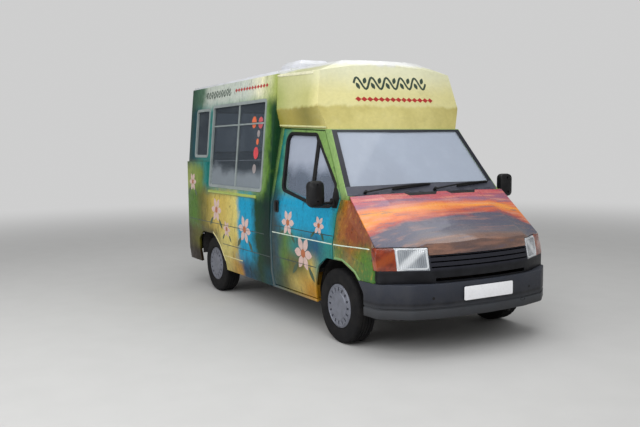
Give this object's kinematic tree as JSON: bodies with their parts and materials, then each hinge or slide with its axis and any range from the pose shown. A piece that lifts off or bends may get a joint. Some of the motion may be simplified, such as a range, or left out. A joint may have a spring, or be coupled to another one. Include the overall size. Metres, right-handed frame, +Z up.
{
  "type": "ice cream van",
  "caption": "Short-wheelbase ice cream van with a domed sign front, serving windows on both sides, hinged doors and bonnet, steered front wheels.",
  "frame": {"origin": "bottom centre of the whole van's box, on the road between the wheels", "axes": "+X forward along the van, +Y to its left, +Z up"},
  "size_m": [4.6497, 2.317, 2.67],
  "materials": {
    "body_paint": "gloss hand-painted steel",
    "bonnet_paint": "gloss hand-painted steel",
    "fibreglass": "painted fibreglass",
    "roof_white": "white gel coat",
    "chassis_black": "satin black",
    "floor_grey": "undersealed steel",
    "cast_metal": "rough cast",
    "exhaust_steel": "dull steel",
    "bumper_plastic": "grained blue-grey plastic",
    "grille_plastic": "grained charcoal plastic",
    "black_plastic": "grained black plastic",
    "frame_aluminium": "satin anodised",
    "seal_rubber": "matte rubber",
    "glass": "clear",
    "lamp_clear": "fluted clear lens",
    "lamp_orange": "fluted orange lens",
    "lamp_red": "fluted red lens",
    "seat_cloth": "woven grey cloth",
    "laminate": "wipe-clean laminate",
    "tyre": "worn rubber",
    "wheel_silver": "silver-grey paint"
  },
  "bodies": {
    "body": {"floor_pan": "floor_grey", "wheel_boxes": "floor_grey", "chassis_frame": "chassis_black", "front_suspension": "cast_metal", "rear_axle": "cast_metal", "engine_block": "cast_metal", "exhaust": "exhaust_steel", "fuel_tank": "chassis_black", "lower_side_panels": "body_paint", "upper_side_panels": "fibreglass", "rear_upper_panel": "fibreglass", "rear_window_seal": "seal_rubber", "roof": "roof_white", "sign_dome": "fibreglass", "roof_hatch": "roof_white", "cab_frame": "body_paint", "windscreen": "glass", "front_wings": "body_paint", "window_frames": "frame_aluminium", "body_glass": "glass", "front_bumper": "bumper_plastic", "grille": "grille_plastic", "headlamps": "lamp_clear", "indicators": "lamp_orange", "rear_bumper": "bumper_plastic", "rear_lamps": "lamp_red", "dashboard": "black_plastic", "seats": "seat_cloth", "serving_units": "laminate", "steering_wheel": "black_plastic"},
    "bonnet": {"bonnet": "bonnet_paint"},
    "door_left": {"door_left": "body_paint", "door_glass_left": "glass", "mirror_left": "black_plastic"},
    "rear_door_left": {"rear_door_left": "body_paint"},
    "knuckle_left": {"knuckle_left": "cast_metal"},
    "wheel_front_left": {"tyre_front_left": "tyre", "wheel_front_left": "wheel_silver"},
    "wheel_rear_left": {"tyre_rear_left": "tyre", "wheel_rear_left": "wheel_silver"},
    "door_right": {"door_right": "body_paint", "door_glass_right": "glass", "mirror_right": "black_plastic"},
    "rear_door_right": {"rear_door_right": "body_paint"},
    "knuckle_right": {"knuckle_right": "cast_metal"},
    "wheel_front_right": {"tyre_front_right": "tyre", "wheel_front_right": "wheel_silver"},
    "wheel_rear_right": {"tyre_rear_right": "tyre", "wheel_rear_right": "wheel_silver"}
  },
  "joints": [
    {"name": "bonnet_hinge", "type": "hinge", "parent": "body", "child": "bonnet", "pos_m": [1.567, 0, 1.254], "axis": [0, -1, 0], "range_deg": [0, 55]},
    {"name": "door_hinge_left", "type": "hinge", "parent": "body", "child": "door_left", "pos_m": [1.385, 0.942, 0.8], "axis": [0, 0, -1], "range_deg": [0, 68]},
    {"name": "rear_door_hinge_left", "type": "hinge", "parent": "body", "child": "rear_door_left", "pos_m": [-2.1945, 0.804, 1], "axis": [0, 0, -1], "range_deg": [0, 100]},
    {"name": "steer_left", "type": "hinge", "parent": "body", "child": "knuckle_left", "pos_m": [1.455, 0.72, 0.325], "axis": [0, 0, 1], "range_deg": [-32, 32]},
    {"name": "front_wheel_spin_left", "type": "hinge", "parent": "knuckle_left", "child": "wheel_front_left", "pos_m": [1.455, 0.83, 0.325], "axis": [0, 1, 0], "continuous": true},
    {"name": "rear_wheel_spin_left", "type": "hinge", "parent": "body", "child": "wheel_rear_left", "pos_m": [-1.36, 0.83, 0.325], "axis": [0, 1, 0], "continuous": true},
    {"name": "door_hinge_right", "type": "hinge", "parent": "body", "child": "door_right", "pos_m": [1.385, -0.942, 0.8], "axis": [0, 0, 1], "range_deg": [0, 68]},
    {"name": "rear_door_hinge_right", "type": "hinge", "parent": "body", "child": "rear_door_right", "pos_m": [-2.1945, -0.804, 1], "axis": [0, 0, 1], "range_deg": [0, 100]},
    {"name": "steer_right", "type": "hinge", "parent": "body", "child": "knuckle_right", "pos_m": [1.455, -0.72, 0.325], "axis": [0, 0, 1], "range_deg": [-32, 32]},
    {"name": "front_wheel_spin_right", "type": "hinge", "parent": "knuckle_right", "child": "wheel_front_right", "pos_m": [1.455, -0.83, 0.325], "axis": [0, 1, 0], "continuous": true},
    {"name": "rear_wheel_spin_right", "type": "hinge", "parent": "body", "child": "wheel_rear_right", "pos_m": [-1.36, -0.83, 0.325], "axis": [0, 1, 0], "continuous": true}
  ],
  "couplings": [
    {"joint": "steer_left", "follows": "steer_right", "ratio": 1}
  ]
}
